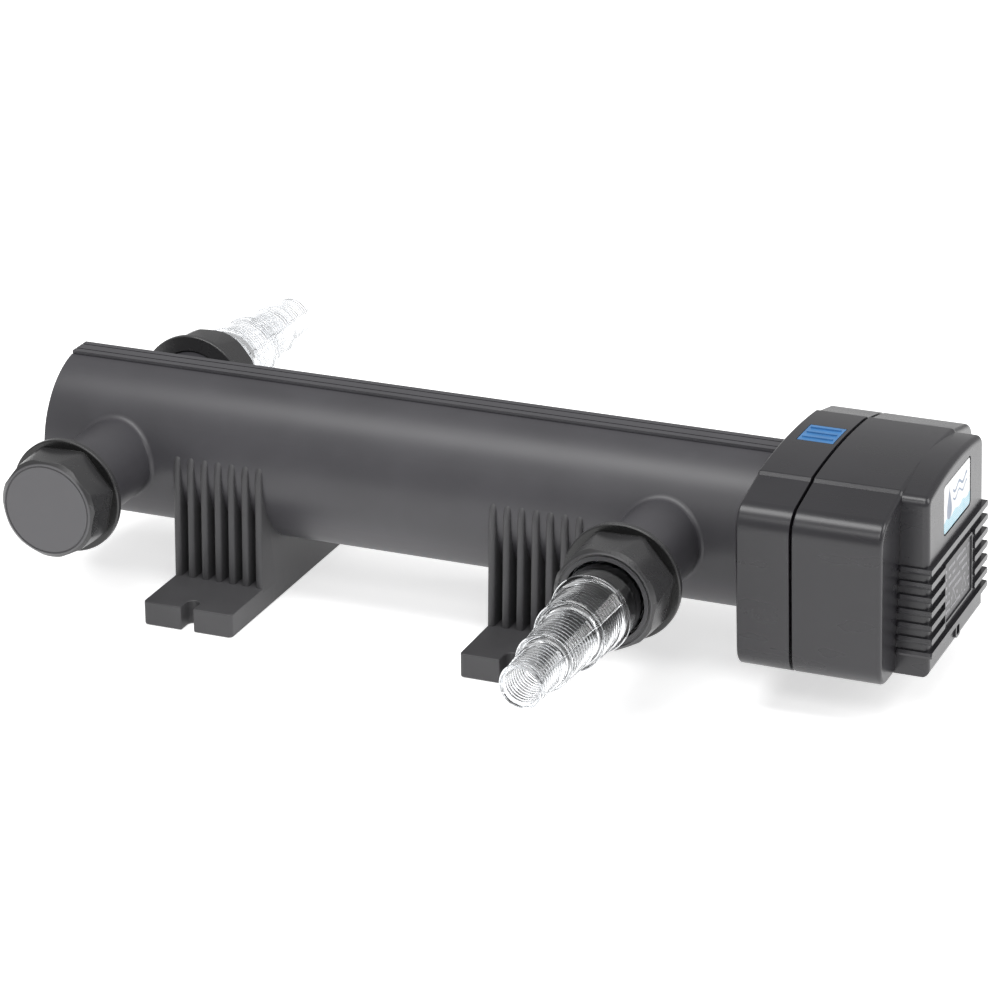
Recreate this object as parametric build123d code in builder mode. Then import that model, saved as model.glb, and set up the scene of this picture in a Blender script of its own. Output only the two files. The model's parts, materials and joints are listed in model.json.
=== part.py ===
"""In-line UV clarifier for a pond: a water tube on two feet, with three threaded ports and a lamp head.

Frame: +X runs along the tube towards the lamp head, +Z is up. The origin is on the floor, under the
tube's axis, at the middle of the foot nearer the head. Lengths are in millimetres.
"""

import os
from math import atan2, cos, degrees, radians, sin, tan

from build123d import *

os.makedirs("parts", exist_ok=True)

# ---------------------------------------------------------------- driving dimensions
AXIS_Z = 80.3  # height of the tube's axis above the floor
TUBE_R = 48.6
TUBE_BORE_R = 45.0
TUBE_LEFT = -315.0
TUBE_RIGHT = 160.0
RAIL_HALF_WIDTH = 8.6
RAIL_HEIGHT = 0.9

# threaded ports: a G 1 1/2 neck, 2.309 mm thread pitch
NECK_R = 24.0
NECK_BORE_R = 19.0
THREAD_CREST_R = 23.9
THREAD_ROOT_R = 22.6
THREAD_PITCH = 2.309
THREAD_TURNS = 8
FRONT_REACH = 126.0  # from the tube's axis to the end of a front neck
REAR_REACH = 98.0
CAP_PORT_X = -268.5
FRONT_PORT_X = 74.5
REAR_PORT_X = -279.0
NUT_BORE_R = 24.9
NUT_OPENING_R = 23.5
NUT_FLANGE_R = 34.3
NUT_FACE_R = 27.6
NUT_BODY_R = 31.4  # over the corners at the flange, narrowing to NUT_END_R
NUT_END_R = 29.9
NUT_FLATS = 7
NUT_FLAT_R = 28.9  # apothem of the flats
NUT_GROOVE_R = 26.4  # a fine groove round the face
NUT_CORNER = 24.5  # degrees from upright, towards the lamp head, to the first corner
FLANGE_BACK = -20.9  # measured outwards from the neck's end
FLANGE_FRONT = -16.9
NUT_FACE = 10.2
CAP_FACE = 6.0

# hose tail: radii of the three hose seats, for 40, 32 and 25 mm hose
SEAT_RADII = (20.0, 16.0, 12.5)
SEAT_ENDS = (62.4, 98.0, 129.6)
TAIL_WALL = 2.2
TAIL_BASE_R = 23.2
TAIL_BASE_END = 30.8

# feet
FOOT_CENTRES_X = (-200.25, 0.0)
FOOT_WIDTH = 57.3
FOOT_HALF_DEPTH = 94.6
FOOT_PLATE = 14.7
FOOT_CORE_HALF = 40.0
RIB_COUNT = 7
RIB_WIDTH = 3.8
RIB_BASE_Y = 53.4
RIB_TIP_Y = 50.0
RIB_TIP_Z = 90.6
SLOT_WIDTH = 7.8
SLOT_DEPTH = 12.0

# collar on the tube's end, and the lamp head beyond it
COLLAR_LEFT = 132.4
COLLAR_RIGHT = 163.0
HEAD_LEFT = 164.5
LOBE_RIGHT = 215.4
LOBE_EDGE = 2.6
HUMP_HALF_WIDTH = 54.0
HUMP_CORNER_Z = 131.0
HUMP_CORNER_R = 6.0
WALL = 3.6
SHOULDER = (89.5, 123.8)  # corners of the head's outline, before rounding
RIDGE_FOOT = (52.8, 131.9)
RIDGE = (50.2, 133.6)
APEX_Z = 136.5
SKIRT = (81.5, 26.6)
END_TILT = 2.0  # degrees the end face leans back
END_X = 232.6  # where the end face crosses END_Z
END_Z = 80.0
HUMP_RIB_HEIGHTS = (89.5, 81.3, 73.1, 64.9, 56.7, 48.5, 40.3)
HUMP_RIB = 3.4
HUMP_RIB_PROUD = 2.4
HUMP_RIB_TAPER = 30
HUMP_EDGE = 3.6  # rounding round the end face
CATCH_SIZE = 8.6
CATCH_Y = -46.0  # on the end face, from END_Z

# lamp and glass
SLEEVE_R = 22.0
SLEEVE_WALL = 1.5
SLEEVE_LEFT = -285.0
SLEEVE_RIGHT = 152.0
LAMP_LEFT = -225.0
LAMP_RIGHT = 153.5
LAMP_TUBE_R = 8.75
LAMP_SPACING = 10.3
SPIGOT_R = 44.6

RUN = 0.4  # clearance between pieces that move past each other
FIT = 0.05  # clearance between fixed pieces


# ---------------------------------------------------------------- planes and helpers
def across(x):
    """A plane square to the tube at x, with its own x along Y and its own y along Z."""
    return Plane(origin=(x, 0, 0), x_dir=(0, 1, 0), z_dir=(1, 0, 0))


def tube_plane(x):
    """The same, centred on the tube's axis."""
    return Plane(origin=(x, 0, AXIS_Z), x_dir=(0, 1, 0), z_dir=(1, 0, 0))


def meridian(plane):
    """The plane through a port's axis, with its own x radial and its own y outwards."""
    return Plane(origin=plane.origin, x_dir=plane.x_dir, z_dir=plane.x_dir.cross(plane.z_dir))


CAP_PORT = Plane(origin=(CAP_PORT_X, -FRONT_REACH, AXIS_Z), x_dir=(1, 0, 0), z_dir=(0, -1, 0))
FRONT_PORT = Plane(origin=(FRONT_PORT_X, -FRONT_REACH, AXIS_Z), x_dir=(1, 0, 0), z_dir=(0, -1, 0))
REAR_PORT = Plane(origin=(REAR_PORT_X, REAR_REACH, AXIS_Z), x_dir=(1, 0, 0), z_dir=(0, 1, 0))
TUBE_FRAME = tube_plane(0)
END_FACE = Plane(
    origin=(END_X, 0, END_Z),
    x_dir=(0, 1, 0),
    z_dir=(cos(radians(END_TILT)), 0, sin(radians(END_TILT))),
)


def draw_revolved(points):
    """Closes a half profile of (radius, distance) points inside the current sketch."""
    with BuildLine() as outline:
        Polyline(*points, close=True)
    make_face(outline.edges())


def round_bar(plane, radius, low, high, mode=Mode.ADD):
    """A cylinder along the plane's normal, from low to high."""
    with BuildSketch(plane.offset(low)) as disc:
        Circle(radius)
    extrude(disc.sketch, amount=high - low, mode=mode)


def draw_head_outline(inset=0.0):
    """The arched outline that the collar and the head share, inside the current sketch."""
    with BuildLine() as outline:
        ThreePointArc((-RIDGE[0], RIDGE[1]), (0, APEX_Z), RIDGE)
        Polyline(RIDGE, RIDGE_FOOT, SHOULDER, SKIRT, (-SKIRT[0], SKIRT[1]),
                 (-SHOULDER[0], SHOULDER[1]), (-RIDGE_FOOT[0], RIDGE_FOOT[1]), (-RIDGE[0], RIDGE[1]))
    sharp = make_face(outline.edges())
    rounded = fillet(sharp.vertices().group_by(Axis.Y)[0], 14)
    across_shoulders = rounded.vertices().group_by(Axis.X)
    rounded = fillet(across_shoulders[0] + across_shoulders[-1], 14)
    rounded = fillet(rounded.vertices().group_by(Axis.Y)[-1], 2.2)
    if inset:
        offset(amount=-inset, mode=Mode.REPLACE)


def save(piece, name):
    piece.part.label = name
    export_step(piece.part, f"parts/{name}.step")


# ---------------------------------------------------------------- water tube
def add_thread(port):
    """Plain rings that stand in for the helical thread."""
    first = -THREAD_PITCH * THREAD_TURNS - 0.2
    with BuildSketch(meridian(port)) as rings:
        for turn in range(THREAD_TURNS):
            low = first + turn * THREAD_PITCH
            draw_revolved(
                (
                    (THREAD_ROOT_R - 1, low),
                    (THREAD_ROOT_R, low),
                    (THREAD_CREST_R, low + THREAD_PITCH * 0.4),
                    (THREAD_CREST_R, low + THREAD_PITCH * 0.55),
                    (THREAD_ROOT_R, low + THREAD_PITCH * 0.95),
                    (THREAD_ROOT_R - 1, low + THREAD_PITCH * 0.95),
                )
            )
    revolve(rings.sketch, axis=Axis(port.origin, port.z_dir))


PORTS = (
    ("cap", CAP_PORT, FRONT_REACH),
    ("front", FRONT_PORT, FRONT_REACH),
    ("rear", REAR_PORT, REAR_REACH),
)

with BuildPart() as housing_tube:
    round_bar(TUBE_FRAME, TUBE_R, TUBE_LEFT, TUBE_RIGHT)
    with BuildSketch(tube_plane(TUBE_LEFT)):
        with Locations((0, (TUBE_R + RAIL_HEIGHT) / 2)):
            Rectangle(2 * RAIL_HALF_WIDTH, TUBE_R + RAIL_HEIGHT)
    extrude(amount=COLLAR_LEFT - FIT - TUBE_LEFT)
    # a groove each side of the rail, and two finer ones along its top
    with BuildSketch(tube_plane(TUBE_LEFT)):
        for side in (-1, 1):
            with Locations((side * (RAIL_HALF_WIDTH + 0.5), TUBE_R - 0.6)):
                Rectangle(1.0, 1.6)
            with Locations((side * RAIL_HALF_WIDTH * 0.45, TUBE_R + RAIL_HEIGHT)):
                Rectangle(1.1, 1.0)
    extrude(amount=COLLAR_LEFT - FIT - TUBE_LEFT, mode=Mode.SUBTRACT)
    for _, port, reach in PORTS:
        round_bar(port, NECK_R + FIT, -reach, FLANGE_BACK, Mode.SUBTRACT)
    round_bar(TUBE_FRAME, TUBE_BORE_R, TUBE_LEFT, TUBE_RIGHT, Mode.SUBTRACT)
save(housing_tube, "housing_tube")


# the necks are moulded by themselves and welded into the tube's wall
def make_neck(port, reach, name):
    with BuildPart() as neck:
        round_bar(port, NECK_R, -reach, FLANGE_BACK + 0.5)
        round_bar(port, THREAD_ROOT_R, FLANGE_BACK, 0)
        add_thread(port)
        round_bar(port, NECK_BORE_R, -reach, 0, Mode.SUBTRACT)
        round_bar(TUBE_FRAME, TUBE_BORE_R + FIT, TUBE_LEFT, TUBE_RIGHT, Mode.SUBTRACT)
    save(neck, name)


for port_name, port, reach in PORTS:
    make_neck(port, reach, f"port_neck_{port_name}")

# a plug welded into the tube's far end
with BuildPart() as tube_end_cap:
    round_bar(TUBE_FRAME, TUBE_BORE_R - FIT, TUBE_LEFT + 1.5, TUBE_LEFT + 14)
    fillet(tube_end_cap.edges().sort_by(Axis.X)[0], 3)
    round_bar(TUBE_FRAME, TUBE_BORE_R - 5, TUBE_LEFT + 6, TUBE_LEFT + 14, Mode.SUBTRACT)
save(tube_end_cap, "tube_end_cap")


# ---------------------------------------------------------------- feet
def make_foot(centre_x, name):
    left = centre_x - FOOT_WIDTH / 2
    pitch = (FOOT_WIDTH - RIB_WIDTH) / (RIB_COUNT - 1)
    with BuildPart() as foot:
        with BuildSketch(Plane.XY):
            with Locations((centre_x, 0)):
                RectangleRounded(FOOT_WIDTH, 2 * FOOT_HALF_DEPTH, 3)
        extrude(amount=FOOT_PLATE)
        with BuildSketch(across(left)):
            with Locations((0, AXIS_Z / 2)):
                Rectangle(2 * FOOT_CORE_HALF, AXIS_Z)
        extrude(amount=FOOT_WIDTH)
        for rib in range(RIB_COUNT):
            with BuildSketch(across(left + rib * pitch)):
                for side in (-1, 1):
                    with BuildLine():
                        Polyline(
                            (side * 30, FOOT_PLATE - 1),
                            (side * RIB_BASE_Y, FOOT_PLATE - 1),
                            (side * (RIB_TIP_Y + 0.9), RIB_TIP_Z - 12),
                            (side * RIB_TIP_Y, RIB_TIP_Z - 4),
                            (side * (RIB_TIP_Y - 3.6), RIB_TIP_Z),
                            (side * 30, RIB_TIP_Z),
                            close=True,
                        )
                    make_face()
            extrude(amount=RIB_WIDTH)
        round_bar(TUBE_FRAME, TUBE_R + FIT, TUBE_LEFT, TUBE_RIGHT, Mode.SUBTRACT)
        with BuildSketch(Plane.XY):
            for side in (-1, 1):
                with Locations((centre_x, side * (FOOT_HALF_DEPTH - SLOT_DEPTH + SLOT_WIDTH / 2))):
                    Circle(SLOT_WIDTH / 2)
                with Locations((centre_x, side * (FOOT_HALF_DEPTH - SLOT_DEPTH / 2 + SLOT_WIDTH / 4))):
                    Rectangle(SLOT_WIDTH, SLOT_DEPTH - SLOT_WIDTH / 2)
        extrude(amount=FOOT_PLATE, mode=Mode.SUBTRACT)
    save(foot, name)


for foot_x, foot_name in zip(FOOT_CENTRES_X, ("foot_left", "foot_right")):
    make_foot(foot_x, foot_name)


# ---------------------------------------------------------------- union nuts, hose tails and blind cap
def draw_nut_envelope(face):
    """The turned outline of a nut or cap: flange, then a body that narrows to its face."""
    draw_revolved(
        (
            (0, FLANGE_BACK),
            (NUT_FLANGE_R - 0.5, FLANGE_BACK),
            (NUT_FLANGE_R, FLANGE_BACK + 0.5),
            (NUT_FLANGE_R, FLANGE_FRONT - 0.7),
            (NUT_FLANGE_R - 0.7, FLANGE_FRONT),
            (NUT_BODY_R, FLANGE_FRONT),
            (NUT_BODY_R, FLANGE_FRONT + 3),
            (NUT_END_R, face - 2.4),
            (NUT_FACE_R, face - 0.3),
            (NUT_FACE_R - 0.3, face),
            (0, face),
        )
    )


def add_nut_form(port, face):
    """The seven-sided body, its corners turned down, with the round flange behind it."""
    upright = degrees(atan2(port.y_dir.Z, port.x_dir.Z))
    turn = upright - NUT_CORNER if port.y_dir.Z > 0 else upright + NUT_CORNER
    with BuildSketch(port.offset(FLANGE_FRONT - 1)) as heptagon:
        RegularPolygon(NUT_FLAT_R, NUT_FLATS, major_radius=False, rotation=turn)
    extrude(heptagon.sketch, amount=face - FLANGE_FRONT + 1)
    round_bar(port, NUT_FLANGE_R, FLANGE_BACK, FLANGE_FRONT)
    with BuildSketch(meridian(port)) as envelope:
        draw_nut_envelope(face)
    revolve(envelope.sketch, axis=Axis(port.origin, port.z_dir), mode=Mode.INTERSECT)


def make_union_nut(port, name):
    with BuildPart() as nut:
        add_nut_form(port, NUT_FACE)
        round_bar(port, NUT_OPENING_R, FLANGE_BACK, NUT_FACE, Mode.SUBTRACT)
        round_bar(port, NUT_BORE_R, FLANGE_BACK, NUT_FACE - 3.9, Mode.SUBTRACT)
        with BuildSketch(port.offset(NUT_FACE - 0.8)):
            Circle(NUT_GROOVE_R + 0.7)
            Circle(NUT_GROOVE_R - 0.5, mode=Mode.SUBTRACT)
        extrude(amount=1, mode=Mode.SUBTRACT)
    save(nut, name)


def make_blind_cap(port, name):
    with BuildPart() as cap:
        add_nut_form(port, CAP_FACE)
        round_bar(port, NUT_BORE_R, FLANGE_BACK, 2.4, Mode.SUBTRACT)
        with BuildSketch(port.offset(CAP_FACE - 0.5)):
            Circle(NUT_GROOVE_R + 0.3)
            Circle(NUT_GROOVE_R - 0.5, mode=Mode.SUBTRACT)
        extrude(amount=1, mode=Mode.SUBTRACT)
    save(cap, name)


def make_seal(port, name):
    with BuildPart() as seal:
        round_bar(port, THREAD_CREST_R - 0.3, 0.1, 2)
        round_bar(port, NECK_BORE_R + 0.2, 0.1, 2, Mode.SUBTRACT)
    save(seal, name)


def make_hose_tail(port, name):
    outside = [(NUT_BORE_R - 0.35, 2.0), (NUT_BORE_R - 0.35, 5.9), (TAIL_BASE_R, 5.9)]
    outside.append((TAIL_BASE_R, TAIL_BASE_END))
    bore = [(NECK_BORE_R + 0.5, 2.0), (NECK_BORE_R + 0.5, TAIL_BASE_END - 4)]
    start = TAIL_BASE_END
    for radius, end in zip(SEAT_RADII, SEAT_ENDS):
        outside += [(radius, start), (radius, end - 1.2), (radius - 1.2, end)]
        bore += [(radius - TAIL_WALL, start), (radius - TAIL_WALL, end - 4)]
        start = end
    bore[-1] = (SEAT_RADII[-1] - TAIL_WALL, SEAT_ENDS[-1])
    with BuildPart() as tail:
        with BuildSketch(meridian(port)):
            draw_revolved(outside + bore[::-1])
        revolve(axis=Axis(port.origin, port.z_dir))
    save(tail, name)


make_union_nut(FRONT_PORT, "union_nut_front")
make_union_nut(REAR_PORT, "union_nut_rear")
make_hose_tail(FRONT_PORT, "hose_tail_front")
make_hose_tail(REAR_PORT, "hose_tail_rear")
make_seal(FRONT_PORT, "tail_seal_front")
make_seal(REAR_PORT, "tail_seal_rear")
make_blind_cap(CAP_PORT, "blind_cap")
make_seal(CAP_PORT, "cap_seal")

# ---------------------------------------------------------------- collar, with its latch
LATCH_LEFT = 139.6
LATCH_RIGHT = 160.6
LATCH_LOW_Y = -5.0
LATCH_HIGH_Y = 20.4
LATCH_CENTRE = ((LATCH_LEFT + LATCH_RIGHT) / 2, (LATCH_LOW_Y + LATCH_HIGH_Y) / 2)
LATCH_SIZE = (LATCH_RIGHT - LATCH_LEFT, LATCH_HIGH_Y - LATCH_LOW_Y)
LATCH_DEEP = 3.2  # from the collar's crown to the button's underside, less the arch
HOOK_R = (61.0, 69.0)  # inner and outer radius of the bayonet hooks
HOOK_STEM = 10.0  # degrees
HOOK_HEAD = 22.0
HEAD_TURN = 18.0


def draw_sector(inner, outer, start, sweep):
    """A piece of a ring between two radii and two angles, inside the current sketch."""
    ends = [radians(start), radians(start + sweep / 2), radians(start + sweep)]
    low = [(inner * cos(a), inner * sin(a)) for a in ends]
    high = [(outer * cos(a), outer * sin(a)) for a in ends]
    with BuildLine() as outline:
        ThreePointArc(low[0], low[1], low[2])
        Line(low[2], high[2])
        ThreePointArc(high[2], high[1], high[0])
        Line(high[0], low[0])
    make_face(outline.edges())


with BuildPart() as head_flange:
    with BuildSketch(across(COLLAR_LEFT)):
        draw_head_outline()
    extrude(amount=COLLAR_RIGHT - COLLAR_LEFT)
    fillet(head_flange.faces().sort_by(Axis.X)[0].edges(), 1.5)
    with BuildSketch(across(COLLAR_LEFT + WALL)):
        draw_head_outline(WALL)
    extrude(amount=COLLAR_RIGHT - COLLAR_LEFT - 2 * WALL, mode=Mode.SUBTRACT)
    round_bar(TUBE_FRAME, TUBE_R + FIT, COLLAR_LEFT, COLLAR_RIGHT, Mode.SUBTRACT)
    with BuildSketch(tube_plane(COLLAR_RIGHT - WALL - 1)):
        for side in (0, 180):
            rest = side - HOOK_STEM / 2
            draw_sector(HOOK_R[0] - 1, HOOK_R[1] + 1, rest - 1, HEAD_TURN + HOOK_STEM + 2)
            draw_sector(HOOK_R[0] - 1, HOOK_R[1] + 1, rest + HEAD_TURN - 1, HOOK_HEAD + 2)
    extrude(amount=WALL + 2, mode=Mode.SUBTRACT)
    with BuildSketch(Plane.XY.offset(AXIS_Z + TUBE_R + 0.6)):
        with Locations(LATCH_CENTRE):
            Rectangle(LATCH_SIZE[0] + 2 * RUN, LATCH_SIZE[1] + 2 * RUN)
    extrude(amount=20, mode=Mode.SUBTRACT)
save(head_flange, "head_flange")

with BuildPart() as latch_button:
    with BuildSketch(across(LATCH_LEFT)):
        draw_head_outline()
    extrude(amount=LATCH_SIZE[0])
    with BuildSketch(Plane.XY.offset(APEX_Z - LATCH_DEEP - 0.4)):
        with Locations(LATCH_CENTRE):
            Rectangle(*LATCH_SIZE)
    extrude(amount=10, mode=Mode.INTERSECT)
    with BuildSketch(Plane.XY.offset(APEX_Z - LATCH_DEEP)):
        for row in (-1, 0, 1):
            with Locations((LATCH_CENTRE[0], LATCH_CENTRE[1] + row * 7.6)):
                SlotOverall(LATCH_SIZE[0] - 3, 2)
    extrude(amount=LATCH_DEEP + 0.8)
save(latch_button, "latch_button")

# a bowed leaf under the button, resting on the tube
SPRING_BOW = 3.0
with BuildPart() as latch_spring:
    with BuildSketch(Plane.XZ.offset(-LATCH_CENTRE[1] - 4)):
        base = AXIS_Z + TUBE_R + 0.4
        half = LATCH_SIZE[0] / 2 - 2.5
        with BuildLine():
            ThreePointArc(
                (LATCH_CENTRE[0] - half, base),
                (LATCH_CENTRE[0], base + SPRING_BOW),
                (LATCH_CENTRE[0] + half, base),
            )
            offset(amount=0.4, side=Side.RIGHT)
        make_face()
    extrude(amount=8)
save(latch_spring, "latch_spring")

# ---------------------------------------------------------------- lamp head: cover
HUMP_BACK = HEAD_LEFT + 20


def make_hump(inset, edge_r):
    """The raised middle of the head, or its hollow when inset by the wall."""
    half = HUMP_HALF_WIDTH - inset
    corner_z = HUMP_CORNER_Z - inset
    low = SKIRT[1] + inset
    lean = tan(radians(END_TILT))
    with BuildPart() as hump:
        with BuildSketch(across(HUMP_BACK)):
            with BuildLine() as outline:
                ThreePointArc((-half, corner_z), (0, APEX_Z - inset), (half, corner_z))
                Polyline((half, corner_z), (half, low), (-half, low), (-half, corner_z))
            sharp = make_face(outline.edges())
            fillet(sharp.vertices().group_by(Axis.Y)[-1], HUMP_CORNER_R)
        extrude(amount=70)
        with BuildSketch(Plane.XZ):
            with BuildLine():
                Polyline(
                    (HUMP_BACK, 0),
                    (END_X - inset + END_Z * lean, 0),
                    (END_X - inset - (APEX_Z + 5 - END_Z) * lean, APEX_Z + 5),
                    (HUMP_BACK, APEX_Z + 5),
                    close=True,
                )
            make_face()
        extrude(amount=half, both=True, mode=Mode.INTERSECT)
        if edge_r:
            end_face = hump.faces().sort_by(Axis(END_FACE.origin, END_FACE.z_dir))[-1]
            fillet(end_face.edges(), edge_r)
    return hump.part


hump_form = make_hump(0, HUMP_EDGE)
hump_hollow = make_hump(WALL, 0)

with BuildPart() as hump_ribs:
    for height in HUMP_RIB_HEIGHTS:
        with BuildSketch(Plane.XY.offset(height)):
            with Locations(((LOBE_RIGHT - 1 + END_X + 5) / 2, 0)):
                RectangleRounded(END_X + 6 - LOBE_RIGHT, 2 * (HUMP_HALF_WIDTH + HUMP_RIB_PROUD), 2.8)
            if height not in (HUMP_RIB_HEIGHTS[0], HUMP_RIB_HEIGHTS[-1]):
                with Locations((END_X + 6, 0)):
                    Rectangle(18, 58, mode=Mode.SUBTRACT)
        extrude(amount=HUMP_RIB / 2, both=True, taper=HUMP_RIB_TAPER)
    split(bisect_by=END_FACE.offset(HUMP_RIB_PROUD), keep=Keep.BOTTOM)

SCREW_SPOTS = ((-66, 44), (66, 44), (-68, 108), (68, 108))
GLAND_X = 184.0
GLAND_Z = 60.0
GLAND_R = 8.0
GLAND_WALL_Y = 83.4

with BuildPart() as head_cover:
    with BuildSketch(across(HEAD_LEFT)):
        draw_head_outline()
    extrude(amount=LOBE_RIGHT - HEAD_LEFT)
    fillet(head_cover.faces().sort_by(Axis.X)[-1].edges(), LOBE_EDGE)
    fillet(head_cover.faces().sort_by(Axis.X)[0].edges(), 0.8)
    add(hump_form)
    add(hump_ribs.part)
    with BuildSketch(across(HEAD_LEFT)):
        draw_head_outline(WALL)
    extrude(amount=LOBE_RIGHT - HEAD_LEFT - WALL, mode=Mode.SUBTRACT)
    add(hump_hollow, mode=Mode.SUBTRACT)
    with BuildSketch(across(HEAD_LEFT + 4.2)):
        with Locations(*SCREW_SPOTS):
            Circle(5.2)
    extrude(amount=LOBE_RIGHT - HEAD_LEFT - 4.2 - 1)
    with BuildSketch(across(HEAD_LEFT + 4.2)):
        with Locations(*SCREW_SPOTS):
            Circle(1.95)
    extrude(amount=20, mode=Mode.SUBTRACT)
    # recess for the name panel
    with BuildSketch(END_FACE.offset(-0.8)):
        with Locations((1.5, 33.5)):
            RectangleRounded(53, 30, 3)
    extrude(amount=5, mode=Mode.SUBTRACT)
    # flat seat and hole for the cable gland, low on the far side
    round_bar(Plane(origin=(GLAND_X, 0, GLAND_Z), x_dir=(1, 0, 0), z_dir=(0, 1, 0)), GLAND_R + 0.2,
              70, 90, Mode.SUBTRACT)
    round_bar(Plane(origin=(GLAND_X, 0, GLAND_Z), x_dir=(1, 0, 0), z_dir=(0, 1, 0)), 13.0,
              GLAND_WALL_Y, 95, Mode.SUBTRACT)
    # catch low on the end face: a small arch, open below
    with BuildSketch(END_FACE.offset(-1)):
        with Locations((0, CATCH_Y)):
            RectangleRounded(CATCH_SIZE, CATCH_SIZE, 2.2)
            RectangleRounded(CATCH_SIZE - 3, CATCH_SIZE - 3, 1.2, mode=Mode.SUBTRACT)
    extrude(amount=2.2)
save(head_cover, "head_cover")

with BuildPart() as name_panel:
    with BuildSketch(END_FACE.offset(-0.8)):
        with Locations((1.5, 33.5)):
            RectangleRounded(51, 28, 2.4)
    extrude(amount=0.6)
save(name_panel, "name_panel")

with BuildPart() as rating_plate:
    with BuildSketch(END_FACE):
        with Locations((0, -15.2)):
            RectangleRounded(54, 36, 2)
    extrude(amount=0.8)
    with BuildSketch(END_FACE.offset(0.8)):
        with Locations((0, -15.2)):
            RectangleRounded(54, 36, 2)
            RectangleRounded(51.4, 33.4, 1.4, mode=Mode.SUBTRACT)
    extrude(amount=0.8)
save(rating_plate, "rating_plate")

# ---------------------------------------------------------------- lamp head: carrier in the tube's mouth
CARRIER_THICK = 4.0
SPIGOT_LEFT = 134.0
BOSS_R = 31.0
SEAT_X = 140.0
RING_LEFT = 143.4
RING_RIGHT = 150.0
O_RING = 1.7
GROOVE_X = 146.0
POST_Y = 37.0
SOCKET_LEFT = 176.0

with BuildPart() as lamp_carrier:
    with BuildSketch(across(HEAD_LEFT + 0.2)):
        draw_head_outline(WALL + 0.2)
    extrude(amount=CARRIER_THICK)
    round_bar(TUBE_FRAME, SPIGOT_R, SPIGOT_LEFT, HEAD_LEFT + 0.2)
    round_bar(TUBE_FRAME, SPIGOT_R - 3.8, SPIGOT_LEFT + 4, HEAD_LEFT + CARRIER_THICK + 0.2, Mode.SUBTRACT)
    round_bar(TUBE_FRAME, BOSS_R, SPIGOT_LEFT + 3, RING_RIGHT)
    round_bar(TUBE_FRAME, SLEEVE_R + 0.2, SPIGOT_LEFT, RING_RIGHT, Mode.SUBTRACT)
    round_bar(TUBE_FRAME, SLEEVE_R + 2 * O_RING + 0.1, SEAT_X, RING_RIGHT, Mode.SUBTRACT)
    round_bar(TUBE_FRAME, 27.0, RING_LEFT, RING_RIGHT, Mode.SUBTRACT)
    with BuildSketch(tube_plane(GROOVE_X)):
        Circle(SPIGOT_R + 1)
        Circle(TUBE_BORE_R - 2 * O_RING - 0.1, mode=Mode.SUBTRACT)
    extrude(amount=4, mode=Mode.SUBTRACT)
    with BuildSketch(tube_plane(COLLAR_RIGHT - WALL - 6.0)):
        for side in (0, 180):
            draw_sector(*HOOK_R, side - HOOK_STEM / 2, HOOK_STEM)
    extrude(amount=HEAD_LEFT + 1 - COLLAR_RIGHT + WALL + 6.0)
    with BuildSketch(tube_plane(COLLAR_RIGHT - WALL - 6.0)):
        for side in (0, 180):
            draw_sector(*HOOK_R, side - HOOK_STEM / 2, HOOK_HEAD)
    extrude(amount=3.5)
    with BuildSketch(tube_plane(HEAD_LEFT + 1)):
        with Locations((-POST_Y, 0), (POST_Y, 0)):
            RectangleRounded(12, 12, 2)
    extrude(amount=SOCKET_LEFT - HEAD_LEFT - 1)
    round_bar(TUBE_FRAME, 31.6, HEAD_LEFT - 2, SOCKET_LEFT + 1, Mode.SUBTRACT)
    with BuildSketch(tube_plane(HEAD_LEFT + 3)):
        with Locations((-POST_Y, 0), (POST_Y, 0)):
            Circle(1.55)
    extrude(amount=20, mode=Mode.SUBTRACT)
    with BuildSketch(across(HEAD_LEFT)):
        with Locations(*SCREW_SPOTS):
            Circle(2.1)
    extrude(amount=6, mode=Mode.SUBTRACT)
    with BuildSketch(across(HEAD_LEFT)):
        with Locations(*SCREW_SPOTS):
            Circle(4.0)
    extrude(amount=2.5, mode=Mode.SUBTRACT)
save(lamp_carrier, "lamp_carrier")


def make_o_ring(x, ring_r, name):
    with BuildPart() as o_ring:
        with BuildSketch(Plane.XZ):
            with Locations((x, AXIS_Z + ring_r)):
                Circle(O_RING)
        revolve(axis=Axis((0, 0, AXIS_Z), (1, 0, 0)))
    save(o_ring, name)


make_o_ring(GROOVE_X + 2, TUBE_BORE_R - O_RING - 0.06, "head_o_ring")
make_o_ring(SEAT_X + O_RING, SLEEVE_R + O_RING + 0.05, "sleeve_o_ring")

with BuildPart() as sleeve_clamp_ring:
    round_bar(TUBE_FRAME, 27.0 - FIT, RING_LEFT, RING_RIGHT + 2)
    round_bar(TUBE_FRAME, SLEEVE_R + 0.3, RING_LEFT, RING_RIGHT + 2, Mode.SUBTRACT)
    with BuildSketch(tube_plane(RING_RIGHT)):
        with PolarLocations(25.5, 6):
            Rectangle(3, 3)
    extrude(amount=3, mode=Mode.SUBTRACT)
save(sleeve_clamp_ring, "sleeve_clamp_ring")

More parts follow.
